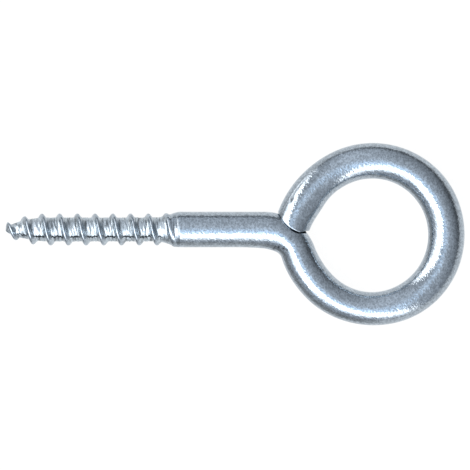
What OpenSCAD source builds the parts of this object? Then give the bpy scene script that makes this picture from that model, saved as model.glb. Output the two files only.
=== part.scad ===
// Screw eye bent from one length of round steel wire.
// The wire lies flat: the eye is in the XY plane, +Z is normal to the eye and +X runs
// along the shank towards the eye. The origin is on the screw's axis, where the thread
// ends and the plain shank begins. All lengths are in millimetres, all angles in degrees.

/* [Wire] */
// Diameter of the drawn wire, which is also the plain shank's
wire_d = 7.8; // [7.2:0.1:8.4]

/* [Thread] */
// Length of the thread from the tip of the point to its run-out
thread_len = 38; // [32:0.5:44]
// Diameter over the thread's crests
thread_d = 7; // [6.4:0.1:7.2]
// Diameter of the core between the crests
core_d = 5.2; // [4.6:0.1:5.6]
// Distance from one crest to the next
pitch = 3.86; // [3:0.02:4.6]
// Length of the gimlet point, over which the core tapers
point_len = 7.5; // [6:0.5:10]
// Diameter of the core at the blunted tip
tip_d = 1.2; // [0.8:0.1:2]
// Length over which the groove fades out into the plain shank
run_out_len = 5.5; // [4:0.5:8]
// Flat sides used to draw the thread's curve
thread_sides = 36; // [24:4:40]

/* [Shank and neck] */
// Length of the plain shank between the thread and the neck
shank_len = 18.3; // [10:0.1:30]
// Centreline radius of the neck's bend
neck_bend_r = 7.85; // [6:0.05:10]
// Angle that the neck turns away from the shank
neck_angle = 69.3; // [66:0.1:72]

/* [Eye] */
// Inside diameter of the eye's round part
eye_inner_d = 24.5; // [22:0.1:27]
// Centreline radius of the slacker arc that leads into the eye
lead_in_r = 21.3; // [19:0.1:24]
// Angle of the arc that leads into the eye
lead_in_angle = 24.1; // [22:0.1:27]
// Angle of the eye's round part
ring_angle = 250.9; // [248:0.1:253]
// Centreline radius of the arc that closes the eye
closing_r = 19.9; // [19:0.1:21]
// Angle of the closing arc, to the middle of its cut end
closing_angle = 47.6; // [45:0.1:49]
// Angle between the cut across the wire's end and a square cut
cut_slant = 16.3; // [8:0.1:20]
// How far the middle of the wire's end bulges out past the edges of its cut
end_bulge = 1; // [0.2:0.1:1.4]
// Gap left where the cut end sits against the neck
seat_gap = 0.05; // [0.03:0.01:0.2]

/* [Hidden] */
wire_r = wire_d / 2;
core_r = core_d / 2;
ridge_h = (thread_d - core_d) / 2;
ring_r = (eye_inner_d + wire_d) / 2;
tip_x = -thread_len;
point_end_x = tip_x + point_len;

// One crest crosses the +Y side of the screw here; the others follow by the pitch.
crest_x = -3.15;
// Where the crest starts to grow to the shank's radius, as a share of the run-out.
crest_rise_share = 0.8;
// Ridge height against distance from the crest: 1 is the crest, 0 the core; 0.5 pitch
// is halfway to the next crest.
RIDGE = [[0, 1], [0.09, 0.95], [0.21, 0.55], [0.3, 0], [0.5, 0]];
// Rows of points in one pitch, at the ridge's own corners.
ROWS = [-0.3, -0.21, -0.09, 0, 0.09, 0.21, 0.3, 0.5];

// The wire's centreline is a chain of arcs. Each one starts where the last one ended:
// heading is the wire's direction, and left_of() is the unit vector to its left.
function left_of(heading) = [-sin(heading), cos(heading)];
neck_centre = [shank_len, 0] - neck_bend_r * left_of(0);
neck_end = neck_centre + neck_bend_r * left_of(-neck_angle);
lead_in_centre = neck_end + lead_in_r * left_of(-neck_angle);
ring_heading = lead_in_angle - neck_angle;
ring_centre = lead_in_centre + (ring_r - lead_in_r) * left_of(ring_heading);
closing_heading = ring_heading + ring_angle;
closing_centre = ring_centre + (closing_r - ring_r) * left_of(closing_heading);
cut_heading = closing_heading + closing_angle;
cut_middle = closing_centre - closing_r * left_of(cut_heading);
// Extra closing arc, which the cut then trims off.
cut_spare_angle = 14;
// Radius of the end's bulge, seen from above the eye.
end_r = (wire_r * wire_r + end_bulge * end_bulge) / (2 * end_bulge);

wire_colour = [0.70, 0.74, 0.80];
thread_colour = [0.78, 0.81, 0.85];

$fn = 96;

function clamp(v, low, high) = min(max(v, low), high);
function smooth(v) = let (s = clamp(v, 0, 1)) s * s * (3 - 2 * s);

// Core radius: a parabola over the gimlet point, then constant.
function tapered_core(x) =
    let (left = 1 - clamp((x - tip_x) / (1.2 * point_len), 0, 1))
    core_r - (core_r - tip_d / 2) * left * left;

// Radius over the crests: it grows to the wire's own radius through the run-out.
function crest_radius(x) =
    let (low = tapered_core(x) + ridge_h,
         rise = smooth(1 + x / (crest_rise_share * run_out_len)))
    low + (wire_r - low) * rise;

function groove_depth(x) = ridge_h * (1 - smooth(1 + x / run_out_len))
    + (wire_r - core_r - ridge_h) * smooth(1 + x / (crest_rise_share * run_out_len))
      * (1 - smooth(1 + x / run_out_len));

// Distance from the nearest crest, in pitches, from -0.5 to 0.5.
function crest_phase(x, turn) =
    let (p = (x - crest_x) / pitch - turn) p - floor(p + 0.5);

function thread_radius(x, turn) =
    crest_radius(x) - groove_depth(x) * (1 - lookup(abs(crest_phase(x, turn)), RIDGE));

// A length of the screw. Its rows of points follow the right-hand helix, and are cut
// off square at both ends, so two lengths that meet share the same outline.
module screw_length(x_start, x_end) {
    rows = len(ROWS);
    first_turn = floor((x_start - crest_x) / pitch) - 2;
    turns = ceil((x_end - crest_x) / pitch - first_turn + 1.5);
    last_row = rows * (turns - 1) - 1;
    function row_x(j, i) = clamp(
        crest_x + pitch * (first_turn + floor(j / rows) + ROWS[j % rows] + i / thread_sides),
        x_start, x_end);
    function index(j, i) = i < thread_sides ? j * thread_sides + i : (j + rows) * thread_sides;
    function same_x(a, b) = points[a][0] == points[b][0];
    points = [
        for (j = [0 : rows * turns - 1], i = [0 : thread_sides - 1])
            let (x = row_x(j, i), turn = i / thread_sides, r = thread_radius(x, turn))
            [x, r * cos(360 * turn), r * sin(360 * turn)],
        [x_start, 0, 0],
        [x_end, 0, 0]
    ];
    start_centre = len(points) - 2;
    end_centre = len(points) - 1;
    skin = [
        for (j = [0 : last_row - 1], i = [0 : thread_sides - 1])
            let (a = index(j, i), b = index(j, i + 1), c = index(j + 1, i + 1), d = index(j + 1, i))
            each [if (!same_x(a, d)) [a, d, c], if (!same_x(b, c)) [a, c, b]]
    ];
    start_cap = [for (i = [0 : thread_sides - 1]) [start_centre, index(0, i), index(0, i + 1)]];
    end_cap = [
        for (i = [0 : thread_sides - 1]) [end_centre, index(last_row, i + 1), index(last_row, i)]
    ];
    polyhedron(points = points, faces = concat(skin, start_cap, end_cap), convexity = 10);
}

// An arc of wire in the XY plane, anticlockwise about centre from the angle start.
module wire_arc(centre, radius, start, angle, r = wire_r) {
    translate([centre[0], centre[1], 0])
        rotate([0, 0, start])
            rotate_extrude(angle = angle)
                translate([radius, 0])
                    circle(r = r);
}

// Tapered point, with the thread running out to its tip.
module gimlet_point() {
    color(thread_colour) screw_length(tip_x, point_end_x);
}

// Wood screw thread on a parallel core, fading out into the shank.
module threaded_shank() {
    color(thread_colour) screw_length(point_end_x, 0);
}

// Plain round wire between the thread and the neck.
module plain_shank() {
    color(wire_colour)
        rotate([0, 90, 0])
            cylinder(r = wire_r, h = shank_len);
}

// Bend that carries the wire off the screw's axis, round to the side of the eye.
module neck_bend() {
    color(wire_colour)
        wire_arc(neck_centre, neck_bend_r, 90 - neck_angle, neck_angle);
}

// Slacker arc that carries the wire from the neck into the eye.
module eye_lead_in() {
    color(wire_colour)
        wire_arc(lead_in_centre, lead_in_r, -neck_angle - 90, lead_in_angle);
}

// Round part of the eye.
module eye_ring() {
    color(wire_colour)
        wire_arc(ring_centre, ring_r, ring_heading - 90, ring_angle);
}

// Everything past the wire's end, on the neck's side. The end's middle bulges out.
module cut_away() {
    side = 4 * wire_d;
    translate([cut_middle[0], cut_middle[1], 0])
        rotate([0, 0, cut_heading - cut_slant])
            difference() {
                translate([0, -side / 2, -side / 2])
                    cube(side);
                translate([end_bulge - end_r, 0, -side])
                    cylinder(r = end_r, h = 2 * side);
            }
}

// Closing arc of the eye. Its bulging end is slanted, and hollowed to sit on the neck.
module eye_tail() {
    color(wire_colour)
        difference() {
            wire_arc(closing_centre, closing_r, closing_heading - 90,
                closing_angle + cut_spare_angle);
            cut_away();
            wire_arc(neck_centre, neck_bend_r, 0, 180, wire_r + seat_gap);
        }
}

gimlet_point();
threaded_shank();
plain_shank();
neck_bend();
eye_lead_in();
eye_ring();
eye_tail();
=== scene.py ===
"""The looks of a zinc-plated screw eye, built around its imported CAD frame.

The eye lies flat: +X runs along the screw towards the eye and +Z is up, off the floor.
The origin is where the thread ends and the plain shank begins. Blender works in metres;
the sizes below are in millimetres times MM.
"""

import math

import bmesh
import bpy
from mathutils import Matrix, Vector, noise


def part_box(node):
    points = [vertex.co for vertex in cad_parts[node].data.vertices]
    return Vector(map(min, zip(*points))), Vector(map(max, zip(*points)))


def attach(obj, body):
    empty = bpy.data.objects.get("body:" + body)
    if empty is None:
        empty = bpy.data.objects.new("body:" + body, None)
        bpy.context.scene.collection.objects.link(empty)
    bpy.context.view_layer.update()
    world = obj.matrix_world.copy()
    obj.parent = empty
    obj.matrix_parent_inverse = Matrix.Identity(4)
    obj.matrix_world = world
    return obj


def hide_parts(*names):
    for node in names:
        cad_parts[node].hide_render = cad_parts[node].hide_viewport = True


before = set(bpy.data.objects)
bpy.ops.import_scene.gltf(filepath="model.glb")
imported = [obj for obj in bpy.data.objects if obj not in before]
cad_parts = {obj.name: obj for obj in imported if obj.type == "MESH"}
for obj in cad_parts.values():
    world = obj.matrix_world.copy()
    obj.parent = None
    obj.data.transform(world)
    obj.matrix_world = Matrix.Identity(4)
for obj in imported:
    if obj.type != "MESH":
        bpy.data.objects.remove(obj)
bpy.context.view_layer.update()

MM = 0.001
UP = Vector((0, 0, 1))

# ---------------------------------------------------------------- sizes from the frame
point_low, point_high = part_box("gimlet_point")
shank_low, shank_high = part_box("plain_shank")
WIRE_R = shank_high.z
SHANK_LEN = shank_high.x
TIP_X = point_low.x
POINT_END = point_high.x
FLOOR_Z = shank_low.z

# ---------------------------------------------------------------- the bent wire
# The centreline's arcs, as in part.scad.
NECK_R = 7.85 * MM
NECK_ANGLE = math.radians(69.3)
LEAD_IN_R = 21.3 * MM
LEAD_IN_ANGLE = math.radians(24.1)
RING_R = 16.15 * MM
RING_ANGLE = math.radians(250.9)
CLOSING_R = 19.9 * MM
CLOSING_ANGLE = math.radians(47.6)
CUT_SLANT = math.radians(16.3)
END_BULGE = 1.0 * MM
# The gap at the cut end, wider than the CAD's so that it shows, and how much it widens
# towards the inside of the eye.
SEAT_GAP = 0.12 * MM
SEAT_LIFT = 0.5 * MM
# Rounding of the cut end's rim.
RIM_R = 0.3 * MM
RIM_STEPS = 6
FACE_STEPS = 12

# The skins carry one number for wear and painted shade: 0 is clean plating; 1 is torn metal
# in the thread's roots, and painted shade in the wire's dents and at the cut end; above
# that painted black hides it, nearly all of it from 1.6 up, as painted shade in the gap at
# the cut end and in deep dents, and as a painted dark reflection along the thread's roots.
# Full painted shade, on the face of the cut and deep in the gap at its rim.
FULL_PAINTED_SHADE = 2.0
# The most painted shade that a dent takes, enough for painted black in the deepest.
DENT_SHADE_CAP = 1.5
# Depth of dent at which its painted shade reaches 1.
DENT_SHADE_DEPTH = 0.07 * MM

# Fineness of the skins: points round the wire and spacing of the rings.
COLUMNS = 144
RING_STEP = 0.25 * MM
THREAD_STEP = 0.08 * MM

# Where bending made the wire thicker or thinner across the eye: distance along the wire
# from the end of the thread, spread, growth of the left side and of the right side.
SWELLS = [
    (20.2, 2.6, 0.0, 0.34),
    (26.2, 1.8, 0.0, -0.20),
    (47.5, 6.5, -0.20, -0.34),
    (76.0, 11.0, 0.18, 0.0),
    (85.5, 5.0, 0.0, 0.10),
    (118.4, 3.0, 0.44, 0.02),
]

# Dents left by bending: distance along the wire, angle round it from its left side,
# half-length, half-width and depth.
DENTS = [
    (22.25, 147, 0.40, 0.72, 0.12),
    (23.50, 137, 0.44, 0.66, 0.14),
    (24.92, 130, 0.42, 0.56, 0.14),
    (25.98, 125, 0.36, 0.46, 0.11),
    (24.48, 84, 0.30, 0.50, 0.06),
    (117.2, 133, 2.60, 0.22, 0.05),
    (119.4, 127, 0.80, 0.42, 0.10),
    (121.0, 138, 2.00, 0.22, 0.05),
]


def smooth(v):
    """0 below 0, 1 above 1 and an S curve between."""
    v = min(max(v, 0.0), 1.0)
    return v * v * (3 - 2 * v)


def left_of(heading):
    return Vector((-math.sin(heading), math.cos(heading), 0))


def direction(angle):
    return Vector((math.cos(angle), math.sin(angle), 0))


class Arc:
    """One arc of the wire's centreline; the wire turns left where angle is positive."""

    def __init__(self, start, heading, radius, angle, travelled):
        self.turn = math.copysign(1, angle)
        self.radius, self.angle = radius, angle
        self.heading, self.travelled = heading, travelled
        self.centre = start + self.turn * radius * left_of(heading)
        self.length = radius * abs(angle)
        self.end_heading = heading + angle
        self.end = self.centre - self.turn * radius * left_of(self.end_heading)

    def at(self, distance):
        heading = self.heading + self.turn * distance / self.radius
        return self.centre - self.turn * self.radius * left_of(heading), heading


def chain(start, heading, travelled, bends):
    """Arcs of (radius, angle), each one starting where the last one ended."""
    arcs = []
    for radius, angle in bends:
        arc = Arc(start, heading, radius, angle, travelled)
        arcs.append(arc)
        start, heading, travelled = arc.end, arc.end_heading, travelled + arc.length
    return arcs


NECK, LEAD_IN, RING, CLOSING = chain(
    Vector((SHANK_LEN, 0, 0)), 0.0, SHANK_LEN,
    [(NECK_R, -NECK_ANGLE), (LEAD_IN_R, LEAD_IN_ANGLE),
     (RING_R, RING_ANGLE), (CLOSING_R, CLOSING_ANGLE)])


# ---------------------------------------------------------------- mesh work
def closed_skin(name, rings, flat_start=True, flat_end=True):
    """A closed mesh over rings of (point, wear and painted shade) pairs, with a fan over
    each end.
    """
    bm = bmesh.new()
    wear_and_shade = bm.verts.layers.float.new("wear_and_shade")
    rows = []
    for ring in rings:
        row = []
        for point, wear_and_shade_value in ring:
            vert = bm.verts.new(point)
            vert[wear_and_shade] = wear_and_shade_value
            row.append(vert)
        rows.append(row)
    count = len(rows[0])
    for low, high in zip(rows, rows[1:]):
        for i in range(count):
            j = (i + 1) % count
            face = bm.faces.new((low[i], low[j], high[j], high[i]))
            face.smooth = True
    for row, flat, forward in ((rows[0], flat_start, False), (rows[-1], flat_end, True)):
        middle = bm.verts.new(sum((v.co for v in row), Vector()) / count)
        middle[wear_and_shade] = sum(v[wear_and_shade] for v in row) / count
        for i in range(count):
            a, b = row[i], row[(i + 1) % count]
            face = bm.faces.new((a, b, middle) if forward else (b, a, middle))
            face.smooth = not flat
            bm.edges.get((a, b)).smooth = not flat
    bmesh.ops.recalc_face_normals(bm, faces=bm.faces)
    mesh = bpy.data.meshes.new(name)
    bm.to_mesh(mesh)
    bm.free()
    piece = bpy.data.objects.new(name, mesh)
    bpy.context.scene.collection.objects.link(piece)
    return piece


def finish_piece(piece, node, material):
    piece.data.materials.append(material)
    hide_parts(node)
    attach(piece, "root")


# ---------------------------------------------------------------- the wire's surface
def bell(v, middle, spread):
    return math.exp(-0.5 * ((v - middle) / spread) ** 2)


def side_radii(distance):
    """Half-widths of the wire to the left and to the right, across the eye."""
    left = right = WIRE_R
    for middle, spread, grow_left, grow_right in SWELLS:
        share = bell(distance, middle * MM, spread * MM)
        left += grow_left * MM * share
        right += grow_right * MM * share
    return left, right


def dent_depth(distance, angle):
    depth = 0.0
    for middle, degrees, half_length, half_width, deep in DENTS:
        along = (distance / MM - middle) / half_length
        if abs(along) < 3:
            around = (angle - math.radians(degrees)) * WIRE_R / MM / half_width
            depth += deep * MM * math.exp(-along * along - around * around)
    return depth


def dent_painted_shade(distance, angle):
    """Painted shade in the dents, darker the deeper they are."""
    return min(dent_depth(distance, angle) / DENT_SHADE_DEPTH, DENT_SHADE_CAP)


def unevenness(point):
    """Slight waviness of drawn and tumbled wire."""
    broad = noise.noise(point / (2.6 * MM))
    close = noise.noise(point / (0.9 * MM) + Vector((31, 7, 13)))
    return (0.010 * broad + 0.0035 * close - 0.012) * MM


def wire_point(arc_point, heading, distance, angle, grow=0.0):
    """A point on the wire's skin; angle goes round from the left side up over the top."""
    left, right = side_radii(distance)
    across = left if math.cos(angle) > 0 else right
    lateral = left_of(heading) * math.cos(angle)
    point = arc_point + lateral * across + UP * (WIRE_R * math.sin(angle))
    outward = (lateral + UP * math.sin(angle)).normalized()
    return point + outward * (unevenness(point) - dent_depth(distance, angle) + grow)


def angles():
    return [2 * math.pi * i / COLUMNS for i in range(COLUMNS)]


def wire_ring(place, distance, travelled):
    centre, heading = place(distance)
    along = travelled + distance
    return [(wire_point(centre, heading, along, a), dent_painted_shade(along, a)) for a in angles()]


def wire_piece(name, place, length, travelled):
    steps = math.ceil(length / RING_STEP)
    rings = [wire_ring(place, length * k / steps, travelled) for k in range(steps + 1)]
    return closed_skin(name, rings)


def shank_place(distance):
    return Vector((distance, 0, 0)), 0.0


# ---------------------------------------------------------------- the closing end
CUT_MIDDLE = CLOSING.end
CUT_NORMAL = direction(CLOSING.end_heading - CUT_SLANT)
END_R = (WIRE_R ** 2 + END_BULGE ** 2) / (2 * END_BULGE)
END_CENTRE = CUT_MIDDLE + CUT_NORMAL * (END_BULGE - END_R)


def past_end(distance, lateral, height):
    """Above 0 where a point of the closing arc is past its end or inside the neck."""
    centre, heading = CLOSING.at(distance)
    point = centre + left_of(heading) * lateral
    past_cut = (point - END_CENTRE).length - END_R
    from_neck = math.hypot((point - NECK.centre).length - NECK.radius, height)
    gap = SEAT_GAP + SEAT_LIFT * smooth((lateral / WIRE_R - 0.1) / 0.8)
    return max(past_cut, WIRE_R + gap - from_neck)


def reach(lateral, height):
    """How far along the closing arc its end lies, at this place in the section."""
    low, high = 0.5 * CLOSING.length, 1.4 * CLOSING.length
    for _ in range(26):
        middle = (low + high) / 2
        if past_end(middle, lateral, height) > 0:
            high = middle
        else:
            low = middle
    return low


def tail_point(distance, angle, shrink, inset):
    """A point of the tail whose section is shrunk about its middle, then inset."""
    centre, heading = CLOSING.at(distance)
    skin = wire_point(centre, heading, CLOSING.travelled + distance, angle, -inset)
    return centre + (skin - centre) * shrink


def tail_piece(name):
    """The closing arc, the rounded rim of its cut end and the face of the cut, with painted
    shade in the gap: the rim darkens as it turns in, more towards the inside of the eye,
    and the face is painted black.
    """
    around = angles()
    reaches = []
    for a in around:
        left, right = side_radii(CLOSING.travelled + CLOSING.length)
        across = left if math.cos(a) > 0 else right
        reaches.append(reach(math.cos(a) * across, math.sin(a) * WIRE_R))
    rings = []
    steps = math.ceil(CLOSING.length / RING_STEP)
    for k in range(steps + 1):
        share = k / steps
        rings.append([(tail_point((r - RIM_R) * share, a, 1, 0),
                       dent_painted_shade(CLOSING.travelled + (r - RIM_R) * share, a))
                      for a, r in zip(around, reaches)])
    for k in range(1, RIM_STEPS + 1):
        turn = math.pi / 2 * k / RIM_STEPS
        inset = RIM_R * (1 - math.cos(turn))
        back = RIM_R * (1 - math.sin(turn))
        # Painted shade in the gap: the rim darkens as it turns in towards the neck, more on
        # the side towards the inside of the eye.
        gap_shade = FULL_PAINTED_SHADE * smooth((k / RIM_STEPS - 0.35) / 0.4)
        rings.append([(tail_point(r - back, a, 1, inset),
                       gap_shade * (0.3 + 0.7 * smooth((math.cos(a) + 0.3) / 0.6)))
                      for a, r in zip(around, reaches)])
    inner = 1 - RIM_R / WIRE_R
    for k in range(1, FACE_STEPS):
        shrink = 1 - k / FACE_STEPS
        ring = []
        for a, r in zip(around, reaches):
            lateral = math.cos(a) * WIRE_R * inner * shrink
            height = math.sin(a) * WIRE_R * inner * shrink
            end = tail_point(reach(lateral, height), a, inner * shrink, 0)
            # The face of the cut is painted black as shade in the gap.
            ring.append((end, FULL_PAINTED_SHADE))
        rings.append(ring)
    return closed_skin(name, rings, flat_end=False)


# ---------------------------------------------------------------- the screw thread
# The pitch, the radii and the lengths are as in part.scad.
PITCH = 3.86 * MM
CREST_X = -3.15 * MM
CORE_R = 2.6 * MM
TIP_R = 0.6 * MM
RIDGE_H = 0.9 * MM
RUN_OUT = 5.5 * MM
CREST_RISE = 4.4 * MM
TAPER = 9.0 * MM
TIP_ROUND = 0.45 * MM
# Strength of the streaks that rolling tears in the roots, and of the crests' nicks.
TORN_FINE = 0.09 * MM
TORN_COARSE = 0.06 * MM
NICKS = 0.012 * MM
# Where the painted dark reflection lies along the roots, round from +Y over the top.
DARK_REFLECTION_ANGLE = math.radians(127)
# The facet at the run-out: sine of the angle at which it starts, its place and sway along
# the screw, its half-width and its depth.
FACET_START = 0.25
FACET_X = -0.85 * MM
FACET_SWAY = 0.35 * MM
FACET_HALF_WIDTH = 0.62 * MM
FACET_DEPTH = 0.17 * MM
# Ridge height against distance from the crest in pitches, on the tip's side and on the
# shank's side. The tip's side is steeper.
FLANKS = [
    [(0.0, 1.0), (0.04, 0.97), (0.08, 0.80), (0.12, 0.49), (0.16, 0.20), (0.21, 0.04),
     (0.26, 0.0), (0.5, 0.0)],
    [(0.0, 1.0), (0.05, 0.97), (0.09, 0.82), (0.14, 0.52), (0.19, 0.22), (0.24, 0.05),
     (0.29, 0.0), (0.5, 0.0)],
]


def look_up(v, table):
    for (x0, y0), (x1, y1) in zip(table, table[1:]):
        if v <= x1:
            return y0 + (y1 - y0) * (v - x0) / (x1 - x0)
    return table[-1][1]


def core_radius(x):
    left = 1 - min(max((x - TIP_X) / TAPER, 0), 1)
    return CORE_R - (CORE_R - TIP_R) * left * left


def crest_radius(x):
    low = core_radius(x) + RIDGE_H
    return low + (WIRE_R - low) * smooth(1 + x / CREST_RISE)


def groove_depth(x):
    open_share = 1 - smooth(1 + x / RUN_OUT)
    shank_share = smooth(1 + x / CREST_RISE)
    return (RIDGE_H + (WIRE_R - CORE_R - RIDGE_H) * shank_share) * open_share


def run_out_facet(x, angle):
    """Depth of the lens-shaped facet where the die's last groove leaves the shank."""
    upward = math.sin(angle)
    if upward <= FACET_START:
        return 0.0
    spread = (upward - FACET_START) / (1 - FACET_START)
    middle = FACET_X - FACET_SWAY * math.cos(angle)
    across = abs(x - middle) / (FACET_HALF_WIDTH * math.sqrt(spread))
    return FACET_DEPTH * spread * (1 - smooth((across - 0.62) / 0.38))


def screw_point(x, angle):
    """Point, and wear with a painted dark reflection, on the screw's skin at x; angle goes
    round from +Y up over the top.
    """
    phase = (x - CREST_X) / PITCH - angle / (2 * math.pi)
    phase -= math.floor(phase + 0.5)
    ridge = look_up(abs(phase), FLANKS[0 if phase < 0 else 1])
    depth = groove_depth(x)
    root = (1 - ridge) * min(depth / RIDGE_H, 1)
    across = Vector((0, math.cos(angle), math.sin(angle)))
    radius = crest_radius(x) - depth * (1 - ridge) - run_out_facet(x, angle)
    # Rolling leaves torn streaks along the groove: close together, and long round it.
    follow = (x - PITCH * angle / (2 * math.pi)) / MM
    swirl = Vector((follow / 0.36, across.y * 1.5, across.z * 1.5))
    coarse = Vector((follow / 0.9, across.y * 1.1 + 9, across.z * 1.1))
    torn = TORN_FINE * noise.noise(swirl) + TORN_COARSE * noise.noise(coarse)
    nicks = NICKS * noise.noise(Vector((follow / 1.3, across.y * 4, across.z * 4)))
    ends = smooth(-x / (0.5 * MM))
    # A painted dark reflection runs along two opposite sides of the core in the roots,
    # uneven in place and in width.
    dark_reflection_angle = DARK_REFLECTION_ANGLE + 0.18 * noise.noise(Vector((x / MM * 1.7, 3, 0)))
    dark_reflection_spread = 0.025 + 0.07 * (0.5 + noise.noise(Vector((x / MM * 2.9, 7, 0))))
    dark_reflection = bell(angle % math.pi, dark_reflection_angle, dark_reflection_spread) * root * root * ends
    radius += (torn * root + nicks * (1 - root)) * ends
    point = Vector((x, 0, 0)) + across * radius
    return point + across * unevenness(point), root + dark_reflection


def screw_ring(x, shrink=1.0):
    ring = []
    for a in angles():
        point, wear_and_shade_value = screw_point(x, a)
        ring.append((Vector((x, point.y * shrink, point.z * shrink)), wear_and_shade_value))
    return ring


def screw_piece(name, start, end, rounded=False):
    steps = math.ceil((end - start) / THREAD_STEP)
    rings = []
    for k in range(steps + 1):
        x = start + (end - start) * k / steps
        shrink = 1.0
        if rounded and x - start < TIP_ROUND:
            left = 1 - (x - start) / TIP_ROUND
            shrink = math.sqrt(1 - 0.75 * left * left)
        rings.append(screw_ring(x, shrink))
    return closed_skin(name, rings, flat_start=not rounded)


# ---------------------------------------------------------------- materials
# Scales of noise are per metre.
# Painted black: the colour of painted shade in the gap at the cut end and in deep dents,
# and of a painted dark reflection along the thread's roots.
PAINTED_BLACK = (0.015, 0.019, 0.024)


def node_tree(material):
    material.use_nodes = True
    tree = material.node_tree
    tree.nodes.clear()
    return tree


def add(tree, kind, inputs=None, **settings):
    node = tree.nodes.new(kind)
    for key, value in settings.items():
        setattr(node, key, value)
    for key, value in (inputs or {}).items():
        if isinstance(value, bpy.types.NodeSocket):
            tree.links.new(value, node.inputs[key])
        else:
            node.inputs[key].default_value = value
    return node


def noise_field(tree, place, scale, detail, roughness=0.55):
    node = add(tree, "ShaderNodeTexNoise",
               {"Vector": place, "Scale": scale, "Detail": detail, "Roughness": roughness})
    return node.outputs["Fac"]


def ramp(tree, fac, stops, colour=True):
    node = add(tree, "ShaderNodeValToRGB", {"Fac": fac})
    elements = node.color_ramp.elements
    while len(elements) < len(stops):
        elements.new(0.5)
    for element, (position, value) in zip(elements, stops):
        element.position = position
        element.color = (*value, 1) if colour else (value, value, value, 1)
    return node.outputs["Color"]


def map_range(tree, value, low, high, to_low, to_high):
    node = add(tree, "ShaderNodeMapRange", {
        "Value": value, "From Min": low, "From Max": high,
        "To Min": to_low, "To Max": to_high})
    return node.outputs["Result"]


def mix_colour(tree, fac, a, b, blend="MIX"):
    node = add(tree, "ShaderNodeMix", data_type="RGBA", blend_type=blend)
    for key, value in ((0, fac), (6, a), (7, b)):
        if isinstance(value, bpy.types.NodeSocket):
            tree.links.new(value, node.inputs[key])
        else:
            node.inputs[key].default_value = value
    return node.outputs[2]


def zinc(name, shade, gloss, grain_height, worn_and_shaded_tone, worn_gloss):
    """Bright zinc plating: a blue-grey metal with a fine pebbled skin. Where the skin's
    number for wear and painted shade rises to 1 it takes the tone and gloss given for it:
    torn metal in the thread's roots, painted shade on the wire. Above that painted black
    covers it, as painted shade and painted dark reflection."""
    material = bpy.data.materials.new(name)
    tree = node_tree(material)
    place = add(tree, "ShaderNodeTexCoord").outputs["Object"]
    wear_and_shade = add(tree, "ShaderNodeAttribute", attribute_name="wear_and_shade").outputs["Fac"]
    broad = noise_field(tree, place, 160, 3)
    patches = noise_field(tree, place, 900, 2)
    pebbles = noise_field(tree, place, 2500, 1)
    grains = noise_field(tree, place, 2300, 2)
    stretched = add(tree, "ShaderNodeVectorMath", {0: place, 1: (2600, 420, 420)},
                    operation="MULTIPLY").outputs[0]
    streaks = noise_field(tree, stretched, 1, 2)

    dull = tuple(c * 0.84 for c in shade)
    bright = tuple(min(c * 1.12, 1) for c in shade)
    plated = ramp(tree, patches, [(0.32, dull), (0.52, shade), (0.70, bright)])
    specks = ramp(tree, grains, [(0.44, 0.0), (0.60, 1.0)], False)
    speckled = mix_colour(tree, specks, plated, (*(c * 0.68 for c in shade), 1))
    worn_and_shaded_colour = ramp(tree, streaks, [(0.36, tuple(c * 0.30 for c in worn_and_shaded_tone)),
                                       (0.52, worn_and_shaded_tone)])
    worn_and_shaded_fac = map_range(tree, wear_and_shade, 0.15, 0.95, 0.0, 0.85)
    colour = mix_colour(tree, worn_and_shaded_fac, speckled, worn_and_shaded_colour)
    # Above 1.1 the colour turns to painted black, as painted shade and painted dark
    # reflection.
    painted_black_fac = map_range(tree, wear_and_shade, 1.10, 1.60, 0.0, 0.96)
    colour = mix_colour(tree, painted_black_fac, colour, (*PAINTED_BLACK, 1))

    rough = map_range(tree, pebbles, 0.3, 0.7, gloss * 0.8, gloss * 1.3)
    smudge = map_range(tree, broad, 0.35, 0.65, -0.02, 0.03)
    rough = add(tree, "ShaderNodeMath", {0: rough, 1: smudge}, operation="ADD").outputs[0]
    worn_rough = map_range(tree, wear_and_shade, 0.0, 1.0, 0.0, worn_gloss - gloss)
    rough = add(tree, "ShaderNodeMath", {0: rough, 1: worn_rough},
                operation="ADD").outputs[0]

    bump = add(tree, "ShaderNodeBump",
               {"Height": pebbles, "Strength": 1.0, "Distance": grain_height * 0.9})
    soft_bump = add(tree, "ShaderNodeBump",
                    {"Height": patches, "Strength": 1.0, "Distance": grain_height * 0.9,
                     "Normal": bump.outputs["Normal"]})
    shader = add(tree, "ShaderNodeBsdfPrincipled", {
        "Base Color": colour, "Metallic": 1.0, "Roughness": rough,
        "Normal": soft_bump.outputs["Normal"]})
    output = add(tree, "ShaderNodeOutputMaterial")
    tree.links.new(shader.outputs["BSDF"], output.inputs["Surface"])
    return material


ZINC = (0.465, 0.520, 0.570)
ROOT_ZINC = (0.60, 0.66, 0.70)
# On the wire the darker tone is painted shade, in the dents and at the cut end.
wire_zinc = zinc("zinc_wire", ZINC, 0.07, 0.046 * MM, (0.20, 0.225, 0.25), 0.42)
thread_zinc = zinc("zinc_thread", ZINC, 0.08, 0.026 * MM, ROOT_ZINC, 0.40)

finish_piece(screw_piece("screw_point", TIP_X, POINT_END, rounded=True),
             "gimlet_point", thread_zinc)
finish_piece(screw_piece("screw_thread", POINT_END, 0.0),
             "threaded_shank", thread_zinc)
finish_piece(wire_piece("shank_wire", shank_place, SHANK_LEN, 0.0),
             "plain_shank", wire_zinc)
for piece_name, node, arc in (("neck_wire", "neck_bend", NECK),
                              ("lead_in_wire", "eye_lead_in", LEAD_IN),
                              ("ring_wire", "eye_ring", RING)):
    finish_piece(wire_piece(piece_name, arc.at, arc.length, arc.travelled),
                 node, wire_zinc)
finish_piece(tail_piece("tail_wire"), "eye_tail", wire_zinc)

# ---------------------------------------------------------------- floor
FLOOR_HALF = 1.5


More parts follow.
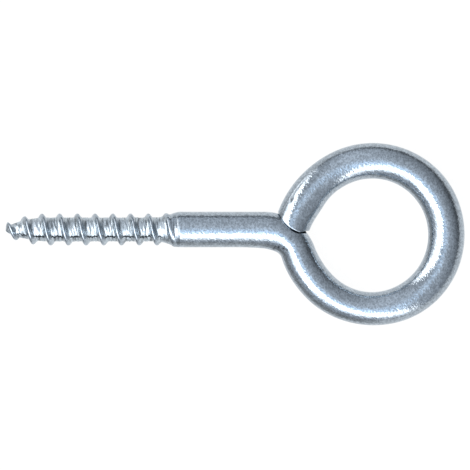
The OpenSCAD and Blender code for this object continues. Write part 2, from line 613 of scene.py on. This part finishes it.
def floor_material():
    """A white sheet that glows, so that it stays white right up to the object."""
    material = bpy.data.materials.new("pale_floor")
    tree = node_tree(material)
    place = add(tree, "ShaderNodeTexCoord").outputs["Object"]
    fibres = noise_field(tree, place, 900, 3)
    glow = ramp(tree, fibres, [(0.3, 0.955), (0.7, 0.975)], False)
    light = add(tree, "ShaderNodeEmission", {"Color": glow, "Strength": 1.0})
    paper = add(tree, "ShaderNodeBsdfDiffuse", {"Color": (0.06, 0.06, 0.06, 1)})
    both = add(tree, "ShaderNodeAddShader")
    tree.links.new(light.outputs[0], both.inputs[0])
    tree.links.new(paper.outputs[0], both.inputs[1])
    output = add(tree, "ShaderNodeOutputMaterial")
    tree.links.new(both.outputs[0], output.inputs["Surface"])
    return material


bm = bmesh.new()
bmesh.ops.create_grid(bm, x_segments=4, y_segments=4, size=FLOOR_HALF)
floor_mesh = bpy.data.meshes.new("floor")
bm.to_mesh(floor_mesh)
bm.free()
floor = bpy.data.objects.new("floor", floor_mesh)
floor.location.z = FLOOR_Z
# The metal mirrors the table that sky() makes instead.
floor.visible_glossy = False
bpy.context.scene.collection.objects.link(floor)
floor_mesh.materials.append(floor_material())

# ---------------------------------------------------------------- light
# The camera sees plain white round the object, while the metal mirrors an invented room,
# matched to the reflections in the photo: a ceiling, a table and a large bright panel.
# The ceiling is darkest towards DARK_SIDE, and the table towards SHADE_SIDE.
DARK_SIDE = math.radians(16)
SHADE_SIDE = math.radians(213.8)
SKY_TINT = (0.93, 1.0, 1.10)
TABLE_TINT = (0.97, 1.0, 1.03)
# Planes through the object bound the panel. Each has the normal that points into the
# panel, and how softly its edge fades.
PANEL = [
    ((-0.832, -0.538, -0.130), 0.16),
    ((-0.770, -0.600, -0.360), 0.22),
    ((-0.036, -0.217, 0.976), 0.85),
    ((0.476, 0.525, 0.706), 0.85),
]
PANEL_GLOW = 5.0
# A bluish glow high on the ceiling, which fades away from each of these sides.
HALO_SIDE = math.radians(275)
HALO_END_SIDE = math.radians(200)
HALO_GLOW = (0.62, 0.90, 1.22)
# The side on which the table's far edge is lower, and by how much.
LOW_EDGE_SIDE = math.radians(85)
LOW_EDGE_DROP = 0.17
# The side with a dark band along the horizon.
SKIRTING_SIDE = math.radians(75)
WHITE = (1, 1, 1, 1)


def level(tree, value, low, high, stops):
    """Brightness looked up in stops of (value, brightness) between low and high."""
    share = map_range(tree, value, low, high, 0.0, 1.0)
    places = [((at - low) / (high - low), shade) for at, shade in stops]
    return ramp(tree, share, places, False)


def dot(tree, place, axis):
    node = add(tree, "ShaderNodeVectorMath", {0: place, 1: tuple(axis)},
               operation="DOT_PRODUCT")
    return node.outputs["Value"]


def smooth_range(tree, value, low, high, top=1.0):
    """0 at low, top at high and an S curve between."""
    node = add(tree, "ShaderNodeMapRange", {
        "Value": value, "From Min": low, "From Max": high, "To Max": top},
        interpolation_type="SMOOTHSTEP")
    return node.outputs["Result"]


def multiply(tree, a, b):
    return add(tree, "ShaderNodeMath", {0: a, 1: b}, operation="MULTIPLY").outputs[0]


def halo_share(tree, place, upward):
    near_side = smooth_range(tree, dot(tree, place, direction(HALO_SIDE)), -0.38, 0.42)
    near_top = map_range(tree, upward, 0.35, 0.9, 0.0, 1.0)
    near_end = smooth_range(tree, dot(tree, place, direction(HALO_END_SIDE)), -0.16, 0.14)
    return multiply(tree, multiply(tree, near_side, near_top), near_end)


def ceiling_colour(tree, place, upward):
    side = level(tree, dot(tree, place, direction(DARK_SIDE)), -1, 1,
                 [(-1, 0.6), (-0.3, 0.6), (0, 0.95), (0.3, 0.66), (0.6, 0.50),
                  (0.83, 0.34), (0.96, 0.17), (1, 0.15)])
    height = level(tree, upward, 0, 1, [(0, 0.94), (0.15, 0.90), (0.35, 0.96), (0.6, 1.0)])
    plain = mix_colour(tree, 1.0, side, height, "MULTIPLY")
    tinted = mix_colour(tree, 1.0, plain, (*SKY_TINT, 1), "MULTIPLY")
    halo = mix_colour(tree, halo_share(tree, place, upward), (0, 0, 0, 1), (*HALO_GLOW, 1))
    return mix_colour(tree, 1.0, tinted, halo, "ADD")


def table_colour(tree, flat, upward):
    shaded = smooth_range(tree, dot(tree, flat, direction(SHADE_SIDE)), 0.287, 0.79)
    lit = level(tree, upward, -0.64, -0.14,
                [(-0.64, 0.98), (-0.47, 1.0), (-0.31, 0.94), (-0.14, 0.76)])
    dark = level(tree, upward, -0.64, -0.14,
                 [(-0.64, 0.90), (-0.47, 0.43), (-0.31, 0.44), (-0.14, 0.34)])
    table = mix_colour(tree, shaded, lit, dark)
    return mix_colour(tree, 1.0, table, (*TABLE_TINT, 1), "MULTIPLY")


def skirting_shade(tree, flat, upward):
    band = level(tree, upward, -0.28, 0.16,
                 [(-0.28, 1.0), (-0.16, 0.66), (-0.08, 0.38), (0.02, 0.42), (0.13, 1.0)])
    near = smooth_range(tree, dot(tree, flat, direction(SKIRTING_SIDE)), 0.4, 0.85)
    return mix_colour(tree, near, WHITE, band)


def panel_share(tree, place):
    inside = None
    for normal, softness in PANEL:
        edge = smooth_range(tree, dot(tree, place, normal), -softness / 2, softness / 2)
        inside = edge if inside is None else multiply(tree, inside, edge)
    return inside


def sky():
    """The room that the metal mirrors; the camera itself sees white."""
    world = bpy.data.worlds.new("studio")
    bpy.context.scene.world = world
    world.use_nodes = True
    tree = world.node_tree
    tree.nodes.clear()
    place = add(tree, "ShaderNodeTexCoord").outputs["Generated"]
    upward = add(tree, "ShaderNodeSeparateXYZ", {0: place}).outputs["Z"]
    level_part = add(tree, "ShaderNodeVectorMath", {0: place, 1: (1, 1, 0)},
                     operation="MULTIPLY").outputs[0]
    flat = add(tree, "ShaderNodeVectorMath", {0: level_part},
               operation="NORMALIZE").outputs[0]

    drop = smooth_range(tree, dot(tree, flat, direction(LOW_EDGE_SIDE)), 0.55, 0.95,
                        LOW_EDGE_DROP)
    horizon = add(tree, "ShaderNodeMath", {0: upward, 1: drop}, operation="ADD").outputs[0]
    below = map_range(tree, horizon, 0.07, -0.06, 0.0, 1.0)
    room = mix_colour(tree, below, ceiling_colour(tree, place, upward),
                      table_colour(tree, flat, upward))
    room = mix_colour(tree, 1.0, room, skirting_shade(tree, flat, upward), "MULTIPLY")
    lit = mix_colour(tree, panel_share(tree, place), room,
                     (PANEL_GLOW, PANEL_GLOW, PANEL_GLOW, 1))
    seen = add(tree, "ShaderNodeLightPath").outputs["Is Camera Ray"]
    colour = mix_colour(tree, seen, lit, WHITE)
    background = add(tree, "ShaderNodeBackground", {"Color": colour, "Strength": 1.0})
    output = add(tree, "ShaderNodeOutputWorld")
    tree.links.new(background.outputs[0], output.inputs["Surface"])


sky()

# A soft key light in the middle of the panel.
KEY_SIDE = math.radians(222)
KEY_TILT = math.radians(40)
KEY_DISTANCE = 0.7
KEY_WIDTH = 0.16
KEY_HEIGHT = 0.40
KEY_POWER = 0.35
key = bpy.data.lights.new("key", "AREA")
key.shape = "RECTANGLE"
key.size = KEY_WIDTH
key.size_y = KEY_HEIGHT
key.energy = KEY_POWER
key_object = bpy.data.objects.new("key", key)
key_way = direction(KEY_SIDE) * math.sin(KEY_TILT) + UP * math.cos(KEY_TILT)
key_object.location = key_way * KEY_DISTANCE
key_object.rotation_euler = key_way.to_track_quat("Z", "Y").to_euler()
key_object.visible_camera = False
bpy.context.scene.collection.objects.link(key_object)

# ---------------------------------------------------------------- camera
# It looks straight down, through a lens so long that there is hardly any perspective.
LENS = 800.0
SENSOR = 36.0
VIEW_WIDTH = 102.4 * MM
VIEW_X = 11.93 * MM
VIEW_Y = -1.2 * MM
camera = bpy.data.cameras.new("camera")
camera.lens = LENS
camera.sensor_width = SENSOR
camera.clip_start = 0.01
camera.clip_end = 20.0
camera_object = bpy.data.objects.new("camera", camera)
camera_object.location = (VIEW_X, VIEW_Y, VIEW_WIDTH * LENS / SENSOR)
bpy.context.scene.collection.objects.link(camera_object)
bpy.context.scene.camera = camera_object
bpy.context.scene.view_settings.view_transform = "Standard"

bpy.context.view_layer.update()
